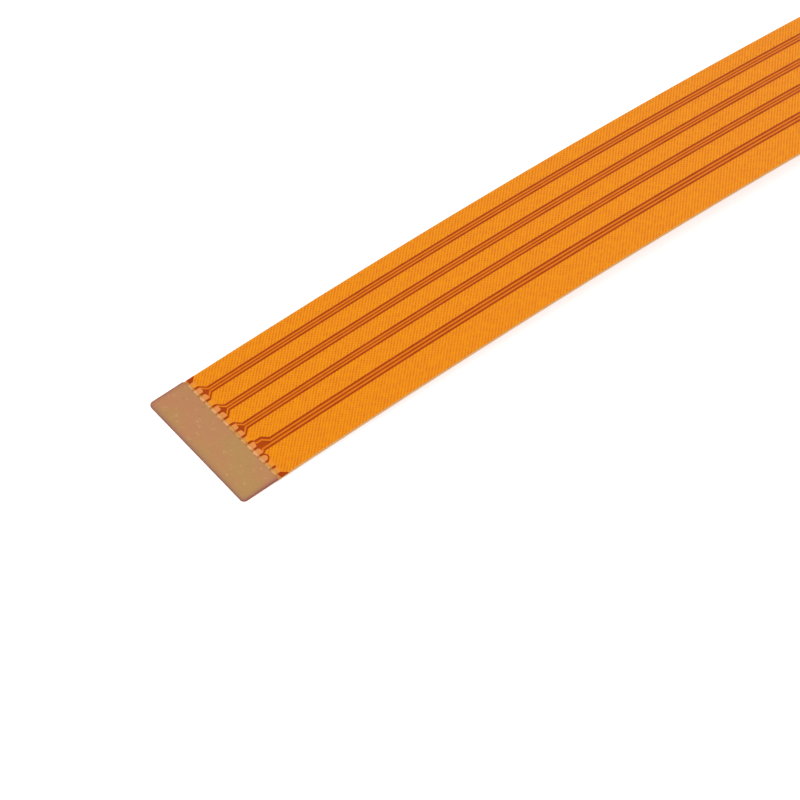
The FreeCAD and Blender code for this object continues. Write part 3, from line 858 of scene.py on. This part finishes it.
TIP_STEPS, RIM_STEPS = 8, 2  # facets of a rounded tip and of a stiffener's softened rim
FLOOR_REACH = 3.0  # metres, from the middle of the floor to its sides
ROOM_LIGHT = 0.6  # strength of the white world on the cable
LAMPS = (  # name, place and width in metres, power in watts
    ("Key", (-0.45, -0.5, 0.85), 0.9, 5.0),
    ("Fill", (0.5, 0.3, 0.9), 1.0, 2.0),
)
# The camera looks down on the near end from beyond it and from its side
CAMERA_PLACE = (-0.1819726, -0.1708471, 0.2340602)
CAMERA_DOWN = math.radians(48.4169)  # from level
CAMERA_HEADING = math.radians(52.2208)  # from the x axis
CAMERA_LENS = 141.991


class FLEX_OT_base_film(bpy.types.Operator):
    """Lays the base film, which all the rest is pressed onto, and its vias"""

    bl_idname = "flex.base_film"
    bl_label = "Base Film"

    def execute(self, context):
        size = sizes()
        bm = bmesh.new()
        bmesh.ops.create_grid(bm, x_segments=1, y_segments=1, size=0.5)
        bmesh.ops.scale(bm, verts=bm.verts, vec=(size.cable_length, size.cable_width, 1))
        soften(bm, bm.verts[:], "VERTICES", size.tip_rounding, TIP_STEPS)
        cut_across(bm, size)
        thicken(bm, 0, size.base_thickness)
        looks = finishes("base", "film_edge")
        context.scene.flex_base = finish_piece(
            bm, "base_film_sheet", looks, ["base_film"], side_or
        )
        for node in ("near_vias", "far_vias"):
            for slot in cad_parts[node].material_slots:
                slot.link = "OBJECT"
                slot.material = finish_of("via")
        return {"FINISHED"}


class FLEX_OT_top_coverlay(bpy.types.Operator):
    """Lays the top coverlay where it has no copper under it"""

    bl_idname = "flex.top_coverlay"
    bl_label = "Top Coverlay"

    def execute(self, context):
        size = sizes()
        strips = top_strips(size)
        half = size.cable_width / 2
        outlines = [
            between([(size.pad_start, half)], strips[0].upper, size),
            between(strips[-1].lower, [(size.pad_start, -half)], size),
        ]
        for above, below in zip(strips, strips[1:]):
            mouth = round_pad(size) if below is strips[-1] else ()
            outlines.append(between(above.lower, below.upper, size, mouth))
        for run in re.finditer("GG", PINOUT):
            bay = notch(run.start() + 1, size)
            outlines += [at_end(bay, NEAR, size), at_end(bay, FAR, size)]
        bm = flat_sheet(outlines)
        keep_within(bm, size.cable_length / 2 - size.top_cover_setback)
        cut_across(bm, size)
        outer = half - size.copper_margin
        reach = size.cable_length / 2 - size.side_fork - (outer - pad_edge(1, UPPER, size))
        cut_at(bm, reach)
        top = size.base_thickness + size.copper_thickness + size.cover_thickness
        thicken(bm, size.base_thickness, top - size.cover_dip)

        def look(face):
            middle = face.calc_center_median()
            clear = abs(middle.y) > outer and abs(middle.x) < reach
            return side_or(face, 2 if clear else 0)

        looks = finishes("bare_film", "film_edge", "margin")
        finish_piece(bm, "top_coverlay_sheet", looks, ["top_coverlay"], look)
        return {"FINISHED"}


def covered_copper(outlines, size, cover_setback, pad_setback, low, high, bare):
    """Copper with film over it, and bare from its coverlay's edge on.

    The film's own faces are material 0, over a pad material 3, its cut edges are
    material 1 and the bare copper between the two levels of bare is material 2.
    """
    half = size.cable_length / 2
    covered = flat_sheet(outlines)
    keep_within(covered, half - cover_setback)
    cut_across(covered, size)
    cut_at(covered, half - pad_setback)
    thicken(covered, low, high)
    for face in covered.faces:
        over_pad = abs(face.calc_center_median().x) > half - pad_setback
        face.material_index = side_or(face, 3 if over_pad else 0)
    for end in (NEAR, FAR):
        plain = flat_sheet(outlines)
        cut(plain, (end * (half - cover_setback), 0, 0), (end, 0, 0), clear_inner=True)
        if not plain.faces:
            plain.free()
            continue
        thicken(plain, *bare)
        for face in plain.faces:
            face.material_index = 2
        join(covered, plain)
    return covered


class FLEX_OT_top_copper(bpy.types.Operator):
    """Lays the ground bands, the signal tracks and the round pads, with the film over them"""

    bl_idname = "flex.top_copper"
    bl_label = "Top Copper"

    def execute(self, context):
        size = sizes()
        low = size.base_thickness
        bare = (low, low + size.copper_thickness)
        high = bare[1] + size.cover_thickness

        def laid(outlines):
            setbacks = (size.top_cover_setback, size.pad_end)
            return covered_copper(outlines, size, *setbacks, low, high, bare)

        strips = {strip.name: strip for strip in top_strips(size)}
        bands = [name for name in strips if name.startswith("ground")]
        tracks = [name for name in strips if name not in bands]
        looks = finishes("band", "film_edge", "pad", "covered_pad")
        for name in bands:
            mouth = notch(PINOUT.index("GG") + 1, size) if name == bands[-1] else ()
            bm = laid([between(strips[name].upper, strips[name].lower, size, mouth)])
            fold_map(bm, size)
            finish_piece(bm, f"{name}_foil", looks, [name])
        looks = finishes("track", "film_edge", "pad", "signal_pad")
        for pair in zip(tracks[::2], tracks[1::2]):
            bm = laid([between(strips[n].upper, strips[n].lower, size) for n in pair])
            finish_piece(bm, f"{pair[0]}_pair", looks, pair)
        for end, word in ENDS:
            bm = laid([at_end(round_pad(size), end, size)])
            node = f"{word}_round_pad_{LINKED:02d}"
            finish_piece(bm, f"{node}_foil", looks, [node])
        return {"FINISHED"}


def finger_side(number, side, size):
    """One side of a contact finger, from its inner end to its chamfered tip."""
    edge = pad_edge(number, side, size)
    return [
        (size.contact_end, edge),
        (size.contact_setback + size.contact_chamfer, edge),
        (size.contact_setback, edge - side * size.contact_chamfer),
    ]


def finger(number, size):
    """A contact finger's outline, from its upper inner corner to its lower one."""
    return finger_side(number, UPPER, size) + finger_side(number, LOWER, size)[::-1]


def link_side(side, size):
    """One side of the link track, from its finger's tip to its narrow part."""
    taper = size.contact_end + (size.contact_width - size.link_width) / 2
    narrow = (taper, contact_y(LINKED, size) + side * size.link_width / 2)
    return [*finger_side(LINKED, side, size)[::-1], narrow]


class FLEX_OT_bottom_copper(bpy.types.Operator):
    """Lays the contact fingers and the link track on the underside"""

    bl_idname = "flex.bottom_copper"
    bl_label = "Contacts"

    def execute(self, context):
        size = sizes()
        bare = (-size.copper_thickness, 0)
        low = bare[0] - size.cover_thickness

        def laid(outlines):
            setbacks = (size.bottom_cover_setback,) * 2
            return covered_copper(outlines, size, *setbacks, low, 0, bare)

        looks = finishes("covered_pad", "film_edge", "contact", "covered_pad")
        bm = laid([between(link_side(UPPER, size), link_side(LOWER, size), size)])
        node = f"link_track_{LINKED:02d}"
        finish_piece(bm, f"{node}_foil", looks, [node])
        numbers = [n for n in range(1, len(PINOUT) + 1) if n != LINKED]
        for end, word in ENDS:
            bm = laid([at_end(finger(number, size), end, size) for number in numbers])
            nodes = [f"{word}_contact_{number:02d}" for number in numbers]
            finish_piece(bm, f"{word}_contact_fingers", looks, nodes)
        return {"FINISHED"}


class FLEX_OT_bottom_coverlay(bpy.types.Operator):
    """Lays the bottom coverlay between the fingers' covered ends and the link track"""

    bl_idname = "flex.bottom_coverlay"
    bl_label = "Bottom Coverlay"

    def execute(self, context):
        size = sizes()
        half = size.cable_width / 2
        setback = size.bottom_cover_setback
        mouths = {UPPER: [], LOWER: []}
        for number in range(1, len(PINOUT) + 1):
            if number == LINKED:
                continue
            upper, lower = (pad_edge(number, side, size) for side in (UPPER, LOWER))
            mouths[UPPER if number < LINKED else LOWER] += [
                (setback, upper),
                (size.contact_end, upper),
                (size.contact_end, lower),
                (setback, lower),
            ]
        outlines = [
            between([(setback, half)], link_side(UPPER, size)[1:], size, mouths[UPPER]),
            between(link_side(LOWER, size)[1:], [(setback, -half)], size, mouths[LOWER]),
        ]
        bm = flat_sheet(outlines)
        keep_within(bm, size.cable_length / 2 - setback)
        cut_across(bm, size)
        copper = [(strip.lower[-1][1], strip.upper[-1][1]) for strip in top_strips(size)]
        for y in sorted({edge for pair in copper for edge in pair}):
            cut(bm, (0, y, 0), (0, 1, 0))
        reach = size.cable_length / 2 - size.contact_end
        cut_at(bm, reach)
        lowest = -(size.copper_thickness + size.cover_thickness)
        thicken(bm, lowest + size.cover_dip, 0)

        def look(face):
            middle = face.calc_center_median()
            if abs(face.normal.z) < 0.5:
                return 1
            if abs(middle.x) < reach and any(low < middle.y < high for low, high in copper):
                return 2
            return 0

        looks = finishes("bare_film", "film_edge", "underside")
        nodes = ["bottom_coverlay"]
        finish_piece(bm, "bottom_coverlay_sheet", looks, nodes, look)
        return {"FINISHED"}


class FLEX_OT_stiffeners(bpy.types.Operator):
    """Presses a stiffener board with its bonding film onto each end"""

    bl_idname = "flex.stiffeners"
    bl_label = "Stiffeners"

    def execute(self, context):
        size = sizes()
        half, deep = size.cable_width / 2, size.stiffener_length
        outline = [(0, half), (0, -half), (deep, -half), (deep, half)]
        bond_low = size.base_thickness
        bond_high = bond_low + size.bond_thickness
        board_high = bond_high + size.stiffener_thickness
        plates = (
            ("bonding_film", bond_low, bond_high, ("bond", "bond")),
            ("stiffener", bond_high, board_high, ("stiffener", "stiffener_edge")),
        )
        for end, word in ENDS:
            for part, low, high, looks in plates:
                bm = flat_sheet([at_end(outline, end, size)])
                cut_end = size.cable_length / 2 - TOUCHING
                tips = [v for v in bm.verts if abs(v.co.x) > cut_end]
                soften(bm, tips, "VERTICES", size.tip_rounding, TIP_STEPS)
                thicken(bm, low, high)
                if part == "stiffener":
                    upper = high - TOUCHING
                    rim = [e for e in bm.edges if all(v.co.z > upper for v in e.verts)]
                    soften(bm, rim, "EDGES", size.edge_softness, RIM_STEPS)
                node = f"{word}_{part}"
                finish_piece(bm, f"{node}_plate", finishes(*looks), [node], side_or)
        return {"FINISHED"}


def aim_from(place, aim, data):
    """Puts a lamp or the camera into the scene, with its view along aim."""
    holder = bpy.data.objects.new(data.name, data)
    holder.location = place
    holder.rotation_euler = aim.to_track_quat("-Z", "Y").to_euler()
    bpy.context.scene.collection.objects.link(holder)
    return holder


class FLEX_OT_stage(bpy.types.Operator):
    """Sets the pale floor, the soft light and the camera"""

    bl_idname = "flex.stage"
    bl_label = "Stage"

    def execute(self, context):
        bm = bmesh.new()
        bmesh.ops.create_grid(bm, x_segments=1, y_segments=1, size=FLOOR_REACH)
        mesh = bpy.data.meshes.new("floor")
        bm.to_mesh(mesh)
        bm.free()
        mesh.materials.append(make_floor_material(context.scene.flex_colours))
        floor = bpy.data.objects.new("floor", mesh)
        context.scene.collection.objects.link(floor)

        world = bpy.data.worlds.new("Soft studio")
        context.scene.world = world
        tree = new_tree(world)
        inputs = {"Color": (1, 1, 1, 1), "Strength": seen_directly(tree, ROOM_LIGHT, 1.0)}
        sky = add(tree, "ShaderNodeBackground", inputs)
        add(tree, "ShaderNodeOutputWorld", {"Surface": sky})

        for name, place, wide, power in LAMPS:
            lamp = bpy.data.lights.new(name, "AREA")
            lamp.shape = "SQUARE"
            lamp.size = wide
            lamp.energy = power
            aim_from(place, -Vector(place), lamp)

        data = bpy.data.cameras.new("Camera")
        data.sensor_width = 36
        data.lens = CAMERA_LENS
        data.clip_start = 0.01
        level = math.cos(CAMERA_DOWN)
        x, y = level * math.cos(CAMERA_HEADING), level * math.sin(CAMERA_HEADING)
        aim = Vector((x, y, -math.sin(CAMERA_DOWN)))
        context.scene.camera = aim_from(CAMERA_PLACE, aim, data)
        context.scene.view_settings.view_transform = "Standard"
        return {"FINISHED"}


class FLEX_PT_panel(bpy.types.Panel):
    """Lists the cable's pieces, sizes and colours"""

    bl_label = "Flex Cable"
    bl_idname = "FLEX_PT_panel"
    bl_space_type = "VIEW_3D"
    bl_region_type = "UI"
    bl_category = "Flex Cable"

    def draw(self, context):
        for operator in OPERATORS:
            self.layout.operator(operator.bl_idname)
        for group, owner in (
            (CableSizes, context.scene.flex_sizes),
            (CableColours, context.scene.flex_colours),
        ):
            box = self.layout.box()
            for name in group.__annotations__:
                box.prop(owner, name)


OPERATORS = (
    FLEX_OT_base_film,
    FLEX_OT_top_coverlay,
    FLEX_OT_top_copper,
    FLEX_OT_bottom_copper,
    FLEX_OT_bottom_coverlay,
    FLEX_OT_stiffeners,
    FLEX_OT_stage,
)
CLASSES = (CableSizes, CableColours, *OPERATORS, FLEX_PT_panel)


def register():
    for cls in CLASSES:
        bpy.utils.register_class(cls)
    bpy.types.Scene.flex_sizes = PointerProperty(type=CableSizes)
    bpy.types.Scene.flex_colours = PointerProperty(type=CableColours)
    bpy.types.Scene.flex_base = PointerProperty(type=bpy.types.Object)


def unregister():
    del bpy.types.Scene.flex_base
    del bpy.types.Scene.flex_colours
    del bpy.types.Scene.flex_sizes
    for cls in reversed(CLASSES):
        bpy.utils.unregister_class(cls)


def main():
    register()
    for operator in OPERATORS:
        getattr(bpy.ops.flex, operator.bl_idname.removeprefix("flex."))()


if __name__ == "__main__":
    main()
